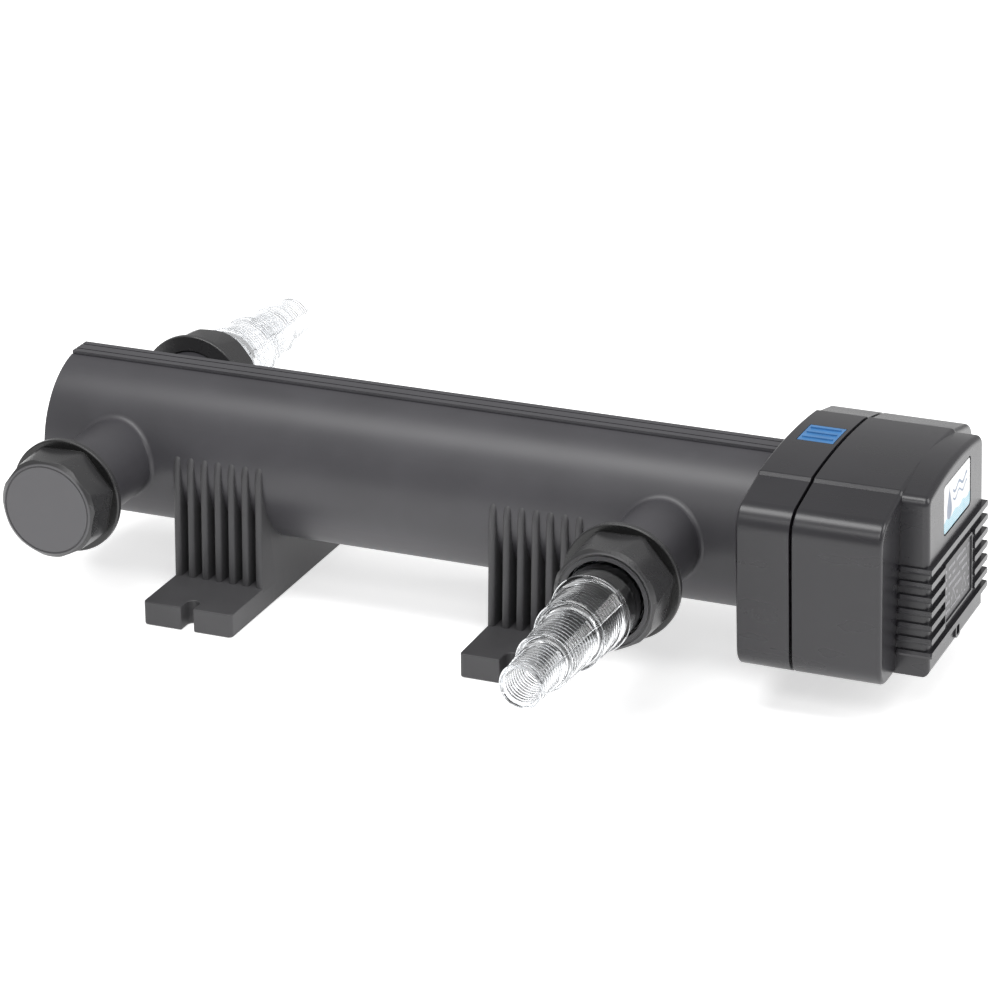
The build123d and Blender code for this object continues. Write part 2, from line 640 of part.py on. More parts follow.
# glass tube, closed by a dome at its far end
with BuildPart() as quartz_sleeve:
    inner = SLEEVE_R - SLEEVE_WALL
    dome = SLEEVE_LEFT + SLEEVE_R
    with BuildSketch(Plane.XZ):
        with BuildLine():
            Line((SLEEVE_RIGHT, AXIS_Z + SLEEVE_R), (dome, AXIS_Z + SLEEVE_R))
            RadiusArc((dome, AXIS_Z + SLEEVE_R), (SLEEVE_LEFT, AXIS_Z), -SLEEVE_R)
            Line((SLEEVE_LEFT, AXIS_Z), (SLEEVE_LEFT + SLEEVE_WALL, AXIS_Z))
            RadiusArc((SLEEVE_LEFT + SLEEVE_WALL, AXIS_Z), (dome, AXIS_Z + inner), inner)
            Line((dome, AXIS_Z + inner), (SLEEVE_RIGHT, AXIS_Z + inner))
            Line((SLEEVE_RIGHT, AXIS_Z + inner), (SLEEVE_RIGHT, AXIS_Z + SLEEVE_R))
        make_face()
    revolve(axis=Axis((0, 0, AXIS_Z), (1, 0, 0)))
save(quartz_sleeve, "quartz_sleeve")

# ---------------------------------------------------------------- lamp: two tubes joined by a bridge
with BuildPart() as lamp_tubes:
    with BuildSketch(tube_plane(LAMP_LEFT)):
        with Locations((0, -LAMP_SPACING), (0, LAMP_SPACING)):
            Circle(LAMP_TUBE_R)
    extrude(amount=LAMP_RIGHT - LAMP_LEFT)
    fillet(lamp_tubes.faces().group_by(Axis.X)[0].edges(), 5)
    round_bar(Plane(origin=(LAMP_LEFT + 14, 0, AXIS_Z), x_dir=(1, 0, 0), z_dir=(0, 0, 1)), 4.5, -4, 4)
save(lamp_tubes, "lamp_tubes")

LAMP_BASE_RIGHT = 175.5
PIN_OFFSETS = (-12.0, -4.0, 4.0, 12.0)
with BuildPart() as lamp_base:
    with BuildSketch(tube_plane(LAMP_RIGHT)):
        RectangleRounded(23, 39, 8)
    extrude(amount=LAMP_BASE_RIGHT - LAMP_RIGHT)
save(lamp_base, "lamp_base")

with BuildPart() as lamp_pins:
    with BuildSketch(tube_plane(LAMP_BASE_RIGHT)):
        with Locations(*[(0, pin) for pin in PIN_OFFSETS]):
            Circle(1.2)
    extrude(amount=8)
    fillet(lamp_pins.faces().group_by(Axis.X)[-1].edges(), 0.8)
save(lamp_pins, "lamp_pins")

with BuildPart() as lamp_socket:
    with BuildSketch(tube_plane(SOCKET_LEFT)):
        RectangleRounded(2 * POST_Y + 12, 12, 2)
    extrude(amount=4)
    with BuildSketch(tube_plane(SOCKET_LEFT)):
        RectangleRounded(27, 37, 5)
    extrude(amount=16)
    with BuildSketch(tube_plane(SOCKET_LEFT)):
        with Locations(*[(0, pin) for pin in PIN_OFFSETS]):
            Circle(1.5)
    extrude(amount=9, mode=Mode.SUBTRACT)
    with BuildSketch(tube_plane(SOCKET_LEFT)):
        with Locations((-POST_Y, 0), (POST_Y, 0)):
            Circle(1.8)
    extrude(amount=4, mode=Mode.SUBTRACT)
save(lamp_socket, "lamp_socket")


def make_screws(base_plane, spots, head_r, head_high, shank_r, length, name):
    """Pan-head screws pointing along -normal of the plane their heads stand on."""
    with BuildPart() as screws:
        with BuildSketch(base_plane):
            with Locations(*spots):
                Circle(head_r)
        extrude(amount=head_high)
        fillet(screws.faces().filter_by(GeomType.PLANE).group_by(Axis.X)[TOP_GROUP[name]].edges(), 0.6)
        with BuildSketch(base_plane):
            with Locations(*spots):
                Circle(shank_r)
        extrude(amount=-length)
        with BuildSketch(base_plane.offset(head_high)):
            with Locations(*spots):
                Rectangle(head_r * 1.1, 0.7)
                Rectangle(0.7, head_r * 1.1)
        extrude(amount=-0.9, mode=Mode.SUBTRACT)
    save(screws, name)


TOP_GROUP = {"cover_screws": 0, "socket_screws": -1}
screw_seat = Plane(origin=(HEAD_LEFT + 2.5, 0, 0), x_dir=(0, 1, 0), z_dir=(-1, 0, 0))
mirrored_spots = [(y, -z) for y, z in SCREW_SPOTS]
make_screws(screw_seat, mirrored_spots, 3.6, 2.2, 1.9, 18, "cover_screws")
make_screws(tube_plane(SOCKET_LEFT + 4), ((-POST_Y, 0), (POST_Y, 0)), 3.0, 2.0, 1.5, 12, "socket_screws")

# ---------------------------------------------------------------- electrics
BALLAST_LEFT = 171.0
BALLAST_RIGHT = 210.0
BALLAST_HALF = 47.0
BALLAST_LOW = 33.0
BALLAST_HIGH = 58.5
BALLAST_CENTRE = ((BALLAST_LEFT + BALLAST_RIGHT) / 2, 0)
BALLAST_LENGTH = BALLAST_RIGHT - BALLAST_LEFT

with BuildPart() as ballast_case:
    with BuildSketch(Plane.XY.offset(BALLAST_LOW)):
        with Locations(BALLAST_CENTRE):
            RectangleRounded(BALLAST_LENGTH, 2 * BALLAST_HALF, 2)
    extrude(amount=BALLAST_HIGH - BALLAST_LOW)
    with BuildSketch(Plane.XY.offset(BALLAST_LOW + 2)):
        with Locations(BALLAST_CENTRE):
            Rectangle(BALLAST_LENGTH - 4, 2 * BALLAST_HALF - 4)
    extrude(amount=BALLAST_HIGH - BALLAST_LOW, mode=Mode.SUBTRACT)
save(ballast_case, "ballast_case")

BOARD_Z = BALLAST_LOW + 6
with BuildPart() as circuit_board:
    with BuildSketch(Plane.XY.offset(BOARD_Z)):
        with Locations(BALLAST_CENTRE):
            Rectangle(BALLAST_LENGTH - 5, 2 * BALLAST_HALF - 5)
    extrude(amount=1.6)
save(circuit_board, "circuit_board")

with BuildPart() as board_components:
    with BuildSketch(Plane.XY.offset(BOARD_Z + 1.6)):
        with Locations((BALLAST_CENTRE[0], -22), (BALLAST_CENTRE[0], 26)):
            Rectangle(22, 20)
    extrude(amount=13)
    with BuildSketch(Plane.XY.offset(BOARD_Z + 1.6)):
        with Locations(*[(BALLAST_CENTRE[0] - 8, 2 * step) for step in (-2.5, 2.5)]):
            Circle(4.2)
        with Locations((BALLAST_CENTRE[0] + 8, -4), (BALLAST_CENTRE[0] + 8, 6)):
            Rectangle(6, 4)
    extrude(amount=15)
save(board_components, "board_components")

with BuildPart() as ballast_lid:
    with BuildSketch(Plane.XY.offset(BALLAST_HIGH)):
        with Locations(BALLAST_CENTRE):
            RectangleRounded(BALLAST_LENGTH, 2 * BALLAST_HALF, 2)
    extrude(amount=1.5)
save(ballast_lid, "ballast_lid")

TERMINAL_SPOT = (56, 84)
with BuildPart() as terminal_block:
    with BuildSketch(across(HEAD_LEFT + CARRIER_THICK + 0.2)):
        with Locations(TERMINAL_SPOT):
            Rectangle(14, 26)
    extrude(amount=13)
    with BuildSketch(across(HEAD_LEFT + CARRIER_THICK + 13.2)):
        with Locations(*[(TERMINAL_SPOT[0], TERMINAL_SPOT[1] + step) for step in (-8.5, 0, 8.5)]):
            Circle(2.2)
    extrude(amount=-3, mode=Mode.SUBTRACT)
save(terminal_block, "terminal_block")

# ---------------------------------------------------------------- cable gland on the far side of the head
GLAND = Plane(origin=(GLAND_X, GLAND_WALL_Y, GLAND_Z), x_dir=(1, 0, 0), z_dir=(0, 1, 0))
CABLE_R = 3.6

with BuildPart() as gland_body:
    with BuildSketch(GLAND):
        RegularPolygon(11, 6, major_radius=False)
    extrude(amount=5)
    round_bar(GLAND, GLAND_R, -12, 0)
    round_bar(GLAND, 8.6, 5, 14)
    round_bar(GLAND, 6.6, -12, 14, Mode.SUBTRACT)
save(gland_body, "gland_body")

with BuildPart() as gland_nut:
    with BuildSketch(GLAND.offset(5.2)):
        RegularPolygon(11, 6, major_radius=False)
    extrude(amount=10)
    with BuildSketch(GLAND.offset(15.2)):
        Circle(10.4)
    extrude(amount=5.5, taper=25)
    round_bar(GLAND, 8.7, 5.2, 14.2, Mode.SUBTRACT)
    round_bar(GLAND, 5.2, 5.2, 21, Mode.SUBTRACT)
save(gland_nut, "gland_nut")

with BuildPart() as gland_bush:
    round_bar(GLAND, 6.5, -3, 14)
    round_bar(GLAND, 5.1, 14, 20)
    round_bar(GLAND, CABLE_R, -3, 20, Mode.SUBTRACT)
save(gland_bush, "gland_bush")

with BuildPart() as gland_locknut:
    with BuildSketch(GLAND.offset(-8.6)):
        RegularPolygon(11, 6, major_radius=False)
    extrude(amount=4)
    round_bar(GLAND, GLAND_R + FIT, -9, -3, Mode.SUBTRACT)
save(gland_locknut, "gland_locknut")
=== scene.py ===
"""Looks for an in-line UV clarifier: finishes, moulded pieces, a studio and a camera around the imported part.

Everything is in metres in the part's own frame: +X runs along the water tube to the lamp head, +Z is up.
"""

import json
import math

import bmesh
import bpy
from mathutils import Matrix, Vector


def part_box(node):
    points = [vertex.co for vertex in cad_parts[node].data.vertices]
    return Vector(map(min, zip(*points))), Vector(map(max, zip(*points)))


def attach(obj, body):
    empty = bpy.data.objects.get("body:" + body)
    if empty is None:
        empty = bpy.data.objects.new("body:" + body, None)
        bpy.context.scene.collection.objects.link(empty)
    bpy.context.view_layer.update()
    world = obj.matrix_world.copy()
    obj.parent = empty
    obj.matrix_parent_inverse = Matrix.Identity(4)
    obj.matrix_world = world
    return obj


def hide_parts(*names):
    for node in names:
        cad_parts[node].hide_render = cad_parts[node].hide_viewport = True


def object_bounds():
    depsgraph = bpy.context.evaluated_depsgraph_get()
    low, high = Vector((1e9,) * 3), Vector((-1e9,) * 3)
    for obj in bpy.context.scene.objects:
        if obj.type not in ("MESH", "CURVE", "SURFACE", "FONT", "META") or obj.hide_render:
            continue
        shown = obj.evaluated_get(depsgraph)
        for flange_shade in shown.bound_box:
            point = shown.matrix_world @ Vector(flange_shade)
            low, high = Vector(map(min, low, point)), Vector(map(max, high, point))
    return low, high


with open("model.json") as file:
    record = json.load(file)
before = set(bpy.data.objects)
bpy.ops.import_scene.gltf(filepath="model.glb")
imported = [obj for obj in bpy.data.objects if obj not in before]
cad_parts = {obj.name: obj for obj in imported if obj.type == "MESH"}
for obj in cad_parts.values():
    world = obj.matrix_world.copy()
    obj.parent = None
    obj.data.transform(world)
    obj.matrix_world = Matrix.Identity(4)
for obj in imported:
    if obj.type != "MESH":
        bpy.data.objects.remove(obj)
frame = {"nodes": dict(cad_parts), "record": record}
CAD_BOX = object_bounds()

MM = 0.001
TO_MM = 1000


# ---------------------------------------------------------------- shader maths
class Value:
    """One shader socket. Arithmetic on it adds Math nodes to its finish."""

    def __init__(self, finish, socket):
        self.finish = finish
        self.socket = socket

    def math(self, operation, *numbers):
        return self.finish.node("ShaderNodeMath", {"operation": operation}, dict(enumerate(numbers)))

    def __add__(self, other):
        return self.math("ADD", self, other)

    def __sub__(self, other):
        return self.math("SUBTRACT", self, other)

    def __rsub__(self, other):
        return self.math("SUBTRACT", other, self)

    def __mul__(self, other):
        return self.math("MULTIPLY", self, other)

    def __truediv__(self, other):
        return self.math("DIVIDE", self, other)

    def __pow__(self, other):
        return self.math("POWER", self, other)

    def size(self):
        return self.math("ABSOLUTE", self)

    def part(self):
        """What is left over a whole number."""
        return self.math("FRACT", self)

    def whole(self):
        return self.math("FLOOR", self)

    __radd__ = __add__
    __rmul__ = __mul__

    def step(self, low, high):
        """0 below low, 1 above high and smooth between."""
        return self.finish.node(
            "ShaderNodeMapRange",
            {"interpolation_type": "SMOOTHSTEP"},
            {"Value": self, "From Min": low, "From Max": high},
        )


class Finish:
    """A material being made: one Principled shader and what feeds it."""

    def __init__(self, name, **constants):
        self.material = bpy.data.materials.new(name)
        self.material.use_nodes = True
        self.tree = self.material.node_tree
        self.tree.nodes.clear()
        self.shader = self.tree.nodes.new("ShaderNodeBsdfPrincipled")
        output = self.tree.nodes.new("ShaderNodeOutputMaterial")
        self.tree.links.new(self.shader.outputs["BSDF"], output.inputs["Surface"])
        self.feed(**constants)
        self.place = self.node("ShaderNodeTexCoord", output="Object")

    def node(self, kind, settings=None, sockets=None, output=0):
        """Adds a node of that kind: its settings first, then the values or links of its sockets."""
        made = self.tree.nodes.new(kind)
        for name, setting in (settings or {}).items():
            setattr(made, name, setting)
        for name, value in (sockets or {}).items():
            self.set(made.inputs[name], value)
        return Value(self, made.outputs[output])

    def set(self, socket, value):
        if isinstance(value, Value):
            self.tree.links.new(value.socket, socket)
        else:
            socket.default_value = value

    def feed(self, **sockets):
        """Sets sockets of the shader. A name's underscores stand for spaces."""
        for name, value in sockets.items():
            self.set(self.shader.inputs[name.replace("_", " ")], value)

    def noise(self, scale, detail=2.0, stretch=(1, 1, 1), roughness=0.5):
        """A noise value over the object, scale per metre, drawn out along an axis by a stretch under 1."""
        point = self.node("ShaderNodeMapping", sockets={"Vector": self.place, "Scale": stretch})
        return self.node(
            "ShaderNodeTexNoise",
            sockets={"Vector": point, "Scale": scale, "Detail": detail, "Roughness": roughness},
        )

    def blend(self, share, first, second):
        """A colour between two colours."""
        return self.node(
            "ShaderNodeMix",
            {"data_type": "RGBA"},
            {"Factor": share, 6: first, 7: second},
            output=2,
        )

    def coordinate(self, axis, start=0.0):
        """How far along X, Y or Z a point lies from a start, in metres."""
        along = self.node("ShaderNodeSeparateXYZ", sockets={0: self.place}, output="XYZ".index(axis))
        return along - start

    def band(self, along, middle, half, soft=0.12 * MM):
        """1 within half of the middle of a coordinate, 0 outside, soft at its edges."""
        return 1 - (along - middle).size().step(half - soft, half + soft)

    def bump(self, height, depth, strength=1.0, over=None):
        """A bumped normal, depth in metres."""
        sockets = {"Height": height, "Distance": depth, "Strength": strength}
        if over:
            sockets["Normal"] = over
        return self.node("ShaderNodeBump", sockets=sockets)


def grey(level, warm=0.0):
    """A linear grey, a little warmer or cooler."""
    return (level * (1 + warm), level, level * (1 - warm), 1)


def charcoal(level, violet=0.1):
    """A dark grey with a trace of violet."""
    return (level * (1 + violet * 0.25), level, level * (1 + violet), 1)


# ---------------------------------------------------------------- finishes
def moulded_plastic(name, level, violet, roughness, grain, grain_scale, specular=0.5, worn=0.35):
    """Pigmented plastic with a fine moulded grain, faint flow marks, dust and rubbed patches."""
    finish = Finish(name, IOR=1.5, Specular_IOR_Level=specular)
    cloud = finish.noise(22, 3)
    flow = finish.noise(90, 2, (0.15, 1, 1))
    rubbed = finish.noise(60, 5, roughness=0.65).step(0.56, 0.78)
    dark = charcoal(level * 0.92, violet)
    light = charcoal(level * 1.08, violet)
    colour = finish.blend(cloud.step(0.3, 0.7), dark, light)
    colour = finish.blend(rubbed * worn, colour, charcoal(level * 1.35, violet))
    finish.feed(Base_Color=colour)
    finish.feed(Roughness=roughness + (flow - 0.5) * 0.05 + (cloud - 0.5) * 0.06 + rubbed * 0.05)
    fine = finish.noise(grain_scale, 2)
    finish.feed(Normal=finish.bump(fine, grain, 0.6, finish.bump(flow, 0.008 * MM, 0.2)))
    return finish.material


def nut_plastic(name, node, flange, face_level):
    """Black plastic of one nut or cap: glossy, with painted shade as a near-black ring beside its flange, its
    face matt and paler.
    """
    low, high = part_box(node)
    finish = Finish(name, IOR=1.5)
    front = low.y < -high.y
    outwards = high.y - finish.coordinate("Y") if front else finish.coordinate("Y") - low.y
    depth = high.y - low.y
    cloud = finish.noise(60, 4, roughness=0.6)
    # Painted shade: a near-black ring where the flange's front meets the body.
    flange_shade = finish.band(outwards, flange + 0.2 * MM, 0.5 * MM, 0.3 * MM)
    face = outwards.step(depth - 0.7 * MM, depth - 0.1 * MM)
    colour = finish.blend(cloud, charcoal(0.022, 0.04), charcoal(0.034, 0.04))
    colour = finish.blend(flange_shade, colour, grey(0.006))
    colour = finish.blend(face, colour, charcoal(face_level, 0.06))
    finish.feed(Base_Color=colour)
    grain = finish.noise(1500, 2)
    finish.feed(Roughness=0.22 + cloud * 0.1 + face * 0.26)
    finish.feed(Normal=finish.bump(grain * (0.25 + face), 0.05 * MM, 0.5))
    return finish.material


def printed_panel(name, node):
    """A white card with a blue drop, two ripples and a pale band of water."""
    low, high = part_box(node)
    finish = Finish(name, Coat_Weight=0.4, Coat_Roughness=0.12)
    across = finish.coordinate("Y", (low.y + high.y) / 2) * TO_MM
    up = finish.coordinate("Z", (low.z + high.z) / 2) * TO_MM
    drop_middle = 1.5
    drop_half = 9.5
    tall = (up - drop_middle) / drop_half
    beside = across + 15
    fat = (1 - tall) ** 3 * (1 + tall) * 14
    drop = (fat - beside * beside).step(-0.5, 0.5) * finish.band(up, drop_middle, drop_half, 0.1)
    wave = finish.node("ShaderNodeMath", {"operation": "SINE"}, {0: across * 0.42})
    swell = up - wave * 1.6
    reach = finish.band(across, 6, 14, 0.3)
    ripple = (finish.band(swell, 6.0, 0.85, 0.15) + finish.band(swell, 1.2, 0.6, 0.15)) * reach
    water = 1 - (up + wave * 0.8).step(-7.2, -6.2)
    streak = finish.band((up * 0.8 + across * 0.02).part(), 0.5, 0.14, 0.04) * water
    patches = finish.noise(120, 4).step(0.35, 0.7)
    colour = finish.blend(patches, grey(0.62), grey(0.56))
    colour = finish.blend(water, colour, (0.09, 0.34, 0.44, 1))
    colour = finish.blend(streak * 0.7, colour, grey(0.6))
    colour = finish.blend(drop, colour, (0.008, 0.05, 0.13, 1))
    colour = finish.blend(ripple, colour, (0.01, 0.07, 0.17, 1))
    finish.feed(Base_Color=colour, Roughness=0.3 + patches * 0.08)
    finish.feed(Normal=finish.bump(finish.noise(1500, 2), 0.01 * MM, 0.4))
    return finish.material


def embossed_plate(name, node, level):
    """Charcoal plate with rows of embossed dashes and two embossed triangles, none of them lettering, these
    marks painted lighter as a painted highlight.
    """
    low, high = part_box(node)
    finish = Finish(name, IOR=1.5)
    across = finish.coordinate("Y", (low.y + high.y) / 2) * TO_MM
    up = finish.coordinate("Z", (low.z + high.z) / 2) * TO_MM
    inside = finish.band(across, 0, 23.5, 0.2) * finish.band(up, 0, 14.6, 0.2)
    row_high = 4.9
    cell_wide = 2.6
    row = up / row_high
    cell = across / cell_wide
    spot = finish.node("ShaderNodeCombineXYZ", sockets={"X": cell.whole(), "Y": row.whole()})
    lot = finish.node("ShaderNodeTexWhiteNoise", {"noise_dimensions": "2D"}, {"Vector": spot})
    drawn = lot.step(0.28, 0.34)
    dash = drawn * finish.band(row.part(), 0.5, 0.2, 0.04) * finish.band(cell.part(), 0.5, 0.36, 0.06)
    above = up + 11
    sign_high = 9.0
    sign_half = 5.4
    signs = 0
    clear = 0
    for middle in (-8.0, 12.0):
        slope = (sign_high - above) / sign_high - (across - middle).size() / sign_half
        signs = signs + finish.band(slope, 0.12, 0.07, 0.03) * above.step(-0.4, 0)
        clear = clear + slope.step(-0.1, -0.02) * above.step(-1.2, -0.6)
    raised_highlit = (dash * (1 - clear) + signs) * inside
    cloud = finish.noise(40, 3)
    colour = finish.blend(cloud, charcoal(level * 0.9), charcoal(level * 1.1))
    # Painted highlight: the embossed marks are painted six times lighter than the plate.
    finish.feed(Base_Color=finish.blend(raised_highlit, colour, charcoal(level * 6)))
    finish.feed(Roughness=0.4 - raised_highlit * 0.1)
    grain = finish.bump(finish.noise(2600, 2), 0.02 * MM, 0.4)
    finish.feed(Normal=finish.bump(raised_highlit, 0.3 * MM, 1.0, grain))
    return finish.material


def clear_plastic(name, tint, roughness):
    """Transparent moulded plastic or glass, a little hazy where it has been handled."""
    finish = Finish(name, Transmission_Weight=1.0, IOR=1.46)
    haze = finish.noise(45, 4).step(0.45, 0.8)
    ripple = finish.noise(90, 2, (1, 0.3, 1))
    finish.feed(Base_Color=finish.blend(haze * 0.2, tint, grey(0.93)))
    finish.feed(Roughness=roughness + haze * 0.03)
    finish.feed(Normal=finish.bump(ripple, 0.02 * MM, 0.15))
    return finish.material


def worked_metal(name, colour, roughness, tarnish):
    """Drawn or stamped metal, brushed along X and dull where it is tarnished."""
    finish = Finish(name, Metallic=1.0)
    stain = finish.noise(240, 4).step(0.4, 0.75)
    brushed = finish.noise(900, 2, (0.05, 1, 1))
    finish.feed(Base_Color=finish.blend(stain, colour, tarnish))
    finish.feed(Roughness=roughness + stain * 0.2)
    finish.feed(Normal=finish.bump(brushed, 0.01 * MM, 0.5))
    return finish.material


def plain_colour(name, colour, shade, roughness):
    """Coloured plastic, paper or board with its small unevenness."""
    finish = Finish(name)
    patches = finish.noise(120, 4).step(0.35, 0.7)
    finish.feed(Base_Color=finish.blend(patches, colour, shade))
    finish.feed(Roughness=roughness + (patches - 0.5) * 0.08)
    finish.feed(Normal=finish.bump(finish.noise(2500, 2), 0.01 * MM, 0.5))
    return finish.material


NUT_FLANGE = 4 * MM  # thickness of the round flange of a nut or cap

charcoal_satin = moulded_plastic("charcoal_satin", 0.043, 0.12, 0.4, 0.01 * MM, 4200, worn=0.2)
charcoal_head = moulded_plastic("charcoal_head", 0.018, 0.16, 0.28, 0.01 * MM, 4200, worn=0.1)
charcoal_grain = moulded_plastic("charcoal_grain", 0.052, 0.05, 0.5, 0.08 * MM, 1300, specular=0.4)
nut_black = moulded_plastic("nut_black", 0.03, 0.02, 0.3, 0.01 * MM, 3000)
nut_front = nut_plastic("nut_front", "union_nut_front", NUT_FLANGE, 0.05)
nut_rear = nut_plastic("nut_rear", "union_nut_rear", NUT_FLANGE, 0.05)
cap_black = nut_plastic("cap_black", "blind_cap", NUT_FLANGE, 0.085)
rubber_black = moulded_plastic("rubber_black", 0.018, 0, 0.62, 0.03 * MM, 1800, specular=0.35)
tail_clear = clear_plastic("tail_clear", (0.93, 0.942, 0.955, 1), 0.01)
sleeve_quartz = clear_plastic("sleeve_quartz", grey(0.99), 0.0)
latch_plastic = plain_colour("latch_plastic", (0.045, 0.16, 0.36, 1), (0.055, 0.19, 0.42, 1), 0.35)
panel_card = printed_panel("panel_card", "name_panel")
plate_charcoal = embossed_plate("plate_charcoal", "rating_plate", 0.03)
lamp_white = plain_colour("lamp_white", grey(0.75), grey(0.7), 0.2)
base_cream = plain_colour("base_cream", grey(0.6, 0.06), grey(0.5, 0.06), 0.45)
board_laminate = plain_colour("board_laminate", (0.02, 0.12, 0.04, 1), (0.015, 0.09, 0.03, 1), 0.4)
component_resin = plain_colour("component_resin", grey(0.03), grey(0.05), 0.5)
ballast_plastic = plain_colour("ballast_plastic", grey(0.25), grey(0.2), 0.5)
steel_bright = worked_metal("steel_bright", grey(0.6), 0.25, grey(0.4, 0.05))
brass_bright = worked_metal("brass_bright", (0.75, 0.5, 0.2, 1), 0.25, (0.4, 0.25, 0.12, 1))

SLOT_FINISH = {
    "housing_plastic": charcoal_satin,
    "foot_plastic": charcoal_grain,
    "nut_plastic": nut_black,
    "clear_plastic": tail_clear,
    "seal_rubber": rubber_black,
    "latch_blue": latch_plastic,
    "panel_white": panel_card,
    "quartz": sleeve_quartz,
    "lamp_glass": lamp_white,
    "lamp_base_plastic": base_cream,
    "brass": brass_bright,
    "steel": steel_bright,
    "board_green": board_laminate,
    "component_black": component_resin,
    "case_grey": ballast_plastic,
}

NODE_FINISH = {
    "head_cover": charcoal_head,
    "head_flange": charcoal_head,
    "rating_plate": plate_charcoal,
}


def finish_cad_nodes():
    """Every node of the part takes its own finish or that of its material slot."""
    for name, node in frame["nodes"].items():
        for spot in node.material_slots:
            spot.material = NODE_FINISH.get(name, SLOT_FINISH[spot.material.name])


finish_cad_nodes()


# ---------------------------------------------------------------- pieces
def link(name, data):
    """Puts a mesh, a light or a camera into the scene."""
    piece = bpy.data.objects.new(name, data)
    bpy.context.scene.collection.objects.link(piece)
    return piece


def join_rings(form, rings):
    """Makes the faces between neighbouring closed rings of vertices."""
    for here, there in zip(rings, rings[1:]):
        for spot in range(len(here)):
            after = (spot + 1) % len(here)
            form.faces.new((here[spot], here[after], there[after], there[spot]))


def mesh_of(name, form, material, smooth=32):
    """Turns a bmesh into a mesh with outward normals, sharp where it bends more than that many degrees.

    With 0 it is smooth all over, for a piece whose edges are rounded afterwards.
    """
    bmesh.ops.remove_doubles(form, verts=form.verts, dist=1e-7)
    bmesh.ops.recalc_face_normals(form, faces=form.faces)
    mesh = bpy.data.meshes.new(name)
    form.to_mesh(mesh)
    form.free()
    mesh.materials.append(material)
    mesh.shade_smooth()
    if smooth:
        mesh.set_sharp_from_angle(angle=math.radians(smooth))
    return mesh


def settle(piece):
    """Turns a piece with modifiers into a plain mesh."""
    depsgraph = bpy.context.evaluated_depsgraph_get()
    mesh = bpy.data.meshes.new_from_object(piece.evaluated_get(depsgraph))
    piece.modifiers.clear()
    piece.data = mesh
    return piece


def install(piece, body, slot, *nodes):
    """A finished piece rides on its body and stands for its nodes."""
    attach(piece, body)
    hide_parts(*nodes)


def body_of(node):
    """The moving body that carries a node."""
    return next(body for body, nodes in frame["record"]["behaviour"]["bodies"].items() if node in nodes)


def slot_of(node):
    """The material slot that a node has in the record."""
    return next(row["material_slot"] for row in frame["record"]["subparts"] if row["node"] == node)


def loose_copy(node):
    """A node's surface as a bmesh, welded and with its flat faces whole."""
    source = frame["nodes"][node].data
    form = bmesh.new()
    spots = [form.verts.new(vertex.co) for vertex in source.vertices]
    for face in source.polygons:
        form.faces.new([spots[index] for index in face.vertices])
    bmesh.ops.remove_doubles(form, verts=form.verts, dist=1e-6)
    bmesh.ops.dissolve_limit(form, angle_limit=math.radians(0.4), verts=form.verts, edges=form.edges)
    return form


def round_edges(piece, width, segments, angle, clamp=True):
    """Rounds the edges that bend more than an angle in degrees."""
    bevel = piece.modifiers.new("edges", "BEVEL")
    bevel.width = width
    bevel.segments = segments
    bevel.limit_method = "ANGLE"
    bevel.angle_limit = math.radians(angle)
    bevel.harden_normals = True
    bevel.use_clamp_overlap = clamp


def soften(node, edge, material):
    """Stands in for a node with its moulded edges rounded."""
    piece = link(node + "_moulded", mesh_of(node + "_moulded", loose_copy(node), material, 0))
    round_edges(piece, edge, segments=2, angle=28)
    install(settle(piece), body_of(node), slot_of(node), node)


# ---------------------------------------------------------------- clear hose tails, in millimetres
TAIL_TURNS = 96  # sides of the round
TAIL_START = 2.0  # from the neck's end to the tail's collar
SEAM_ANGLE = 62.0  # degrees from upright towards the lamp head
SEAM_HALF = 0.8  # degrees
SEAM_HIGH = 0.5
SEAM_START = 32.0  # the mould seam shows beyond this distance
COLLAR_R = 24.5
BORE_R = 19.5
BORE_END = 128.8
RIM_R = 1.6
RIB_HIGH = 0.55
SEATS = (  # where each seat starts and ends, its first and last rib radius, its rim radius, its ribs
    (31.8, 59.6, 21.6, 19.9, 20.2, 10),
    (64.6, 95.4, 17.4, 15.7, 16.2, 10),
    (100.2, 127.6, 13.9, 12.4, 12.7, 10),
)


def rim(radius, place, size):
    """A rounded bead round the tail, as points of (distance, radius)."""
    turns = [math.radians(a) for a in range(-90, 91, 30)]
    return [(place + size * math.sin(turn), radius - size + size * math.cos(turn)) for turn in turns]


def draw_tail():
    """The tail's half section, outside and bore: points of (distance from the neck's end, radius)."""
    outside = [(TAIL_START, COLLAR_R - 0.2), (TAIL_START + 0.2, COLLAR_R), (5.7, COLLAR_R)]
    outside += [(5.9, COLLAR_R - 0.2), (5.9, 22.6), (8.0, 22.4)]
    outside += rim(23.1, 29.6, RIM_R)
    bore = [(TAIL_START, BORE_R), (27.5, BORE_R - 0.1)]
    for start, end, first_r, last_r, rim_r, ribs in SEATS:
        pitch = (end - start) / ribs
        for rib in range(ribs):
            radius = first_r + (last_r - first_r) * rib / (ribs - 1)
            low = start + rib * pitch
            outside += [(low + 0.1, radius - RIB_HIGH), (low + 0.5, radius - 0.1)]
            outside += [(low + 0.75, radius - 0.1), (low + 1.15, radius - RIB_HIGH)]
        outside += rim(rim_r, min(end + RIM_R, 127.9), RIM_R)
        bore += [(start + 0.8, last_r - 2.6), (end - 2.4, last_r - 2.9)]
    bore[-1] = (BORE_END, last_r - 2.4)
    return outside, bore


